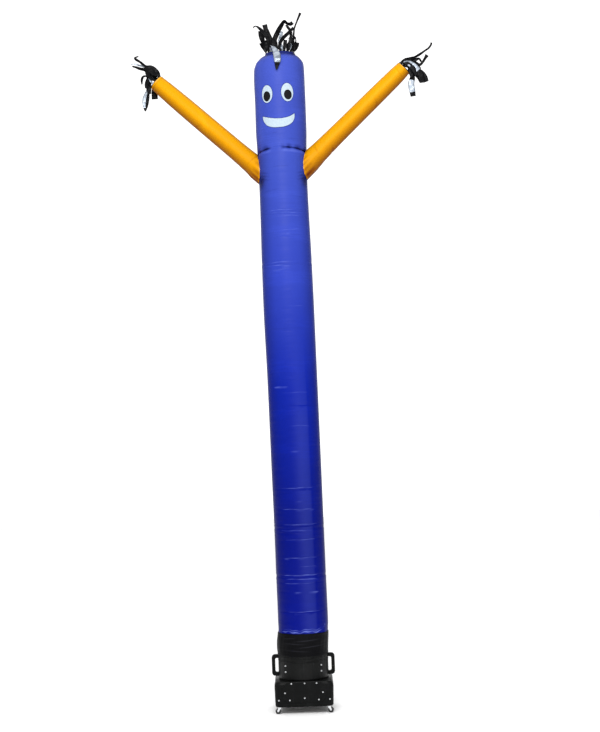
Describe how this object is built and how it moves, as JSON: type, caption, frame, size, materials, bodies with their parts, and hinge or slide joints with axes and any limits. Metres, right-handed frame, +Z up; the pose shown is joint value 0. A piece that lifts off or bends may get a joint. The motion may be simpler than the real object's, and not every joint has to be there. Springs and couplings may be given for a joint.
{
  "type": "inflatable air dancer and blower",
  "caption": "Upright blue inflated sleeve figure with a smiling face, raised orange arms and streamers, on a black fan blower with casters.",
  "frame": {"origin": "on the floor under the middle of the blower", "axes": "+Z up along the sleeve, -Y the way the face looks, +X to the viewer's right"},
  "size_m": [2.783, 0.5378, 6.3547],
  "materials": {
    "blue_nylon": "satin",
    "orange_nylon": "satin",
    "black_nylon": "matte",
    "strip_film": "gloss",
    "white_nylon": "satin",
    "pupil_nylon": "satin",
    "black_plastic": "satin",
    "bolt_steel": "gloss",
    "caster_chrome": "polished",
    "wheel_rubber": "matte"
  },
  "bodies": {
    "blower_and_sleeve": {"body_tube": "blue_nylon", "arm_left": "orange_nylon", "arm_right": "orange_nylon", "base_cuff": "black_nylon", "hair_streamers": "strip_film", "hand_streamers_left": "strip_film", "hand_streamers_right": "strip_film", "eye_left": "white_nylon", "eye_right": "white_nylon", "mouth": "white_nylon", "pupil_left": "pupil_nylon", "pupil_right": "pupil_nylon", "blower_drum": "black_plastic", "blower_base": "black_plastic", "front_cover": "black_plastic", "handle_left": "black_plastic", "handle_right": "black_plastic", "fan_motor": "black_plastic", "fan_rotor": "black_plastic", "cover_bolt_1": "bolt_steel", "cover_bolt_2": "bolt_steel", "cover_bolt_3": "bolt_steel", "cover_bolt_4": "bolt_steel", "cover_bolt_5": "bolt_steel", "cover_bolt_6": "bolt_steel", "cover_bolt_7": "bolt_steel", "cover_bolt_8": "bolt_steel", "corner_bolt_1": "bolt_steel", "corner_bolt_2": "bolt_steel", "drum_bolt_1": "bolt_steel", "drum_bolt_2": "bolt_steel", "drum_bolt_3": "bolt_steel", "drum_bolt_4": "bolt_steel"},
    "swivel_front_left": {"caster_fork_front_left": "caster_chrome"},
    "wheel_front_left": {"caster_wheel_front_left": "wheel_rubber"},
    "swivel_front_right": {"caster_fork_front_right": "caster_chrome"},
    "wheel_front_right": {"caster_wheel_front_right": "wheel_rubber"},
    "swivel_back_left": {"caster_fork_back_left": "caster_chrome"},
    "wheel_back_left": {"caster_wheel_back_left": "wheel_rubber"},
    "swivel_back_right": {"caster_fork_back_right": "caster_chrome"},
    "wheel_back_right": {"caster_wheel_back_right": "wheel_rubber"}
  },
  "joints": [
    {"name": "caster_swivel_front_left", "type": "hinge", "parent": "blower_and_sleeve", "child": "swivel_front_left", "pos_m": [-0.2145, -0.218, 0.06], "axis": [0, 0, 1], "continuous": true},
    {"name": "caster_roll_front_left", "type": "hinge", "parent": "swivel_front_left", "child": "wheel_front_left", "pos_m": [-0.23133, -0.21563, 0.025], "axis": [-0.1392, -0.9903, 0], "continuous": true},
    {"name": "caster_swivel_front_right", "type": "hinge", "parent": "blower_and_sleeve", "child": "swivel_front_right", "pos_m": [0.2215, -0.218, 0.06], "axis": [0, 0, 1], "continuous": true},
    {"name": "caster_roll_front_right", "type": "hinge", "parent": "swivel_front_right", "child": "wheel_front_right", "pos_m": [0.23833, -0.22037, 0.025], "axis": [0.1392, 0.9903, 0], "continuous": true},
    {"name": "caster_swivel_back_left", "type": "hinge", "parent": "blower_and_sleeve", "child": "swivel_back_left", "pos_m": [-0.2145, 0.218, 0.06], "axis": [0, 0, 1], "continuous": true},
    {"name": "caster_roll_back_left", "type": "hinge", "parent": "swivel_back_left", "child": "wheel_back_left", "pos_m": [-0.23047, 0.22381, 0.025], "axis": [-0.342, -0.9397, 0], "continuous": true},
    {"name": "caster_swivel_back_right", "type": "hinge", "parent": "blower_and_sleeve", "child": "swivel_back_right", "pos_m": [0.2215, 0.218, 0.06], "axis": [0, 0, 1], "continuous": true},
    {"name": "caster_roll_back_right", "type": "hinge", "parent": "swivel_back_right", "child": "wheel_back_right", "pos_m": [0.23543, 0.22775, 0.025], "axis": [-0.5736, 0.8192, 0], "continuous": true}
  ]
}
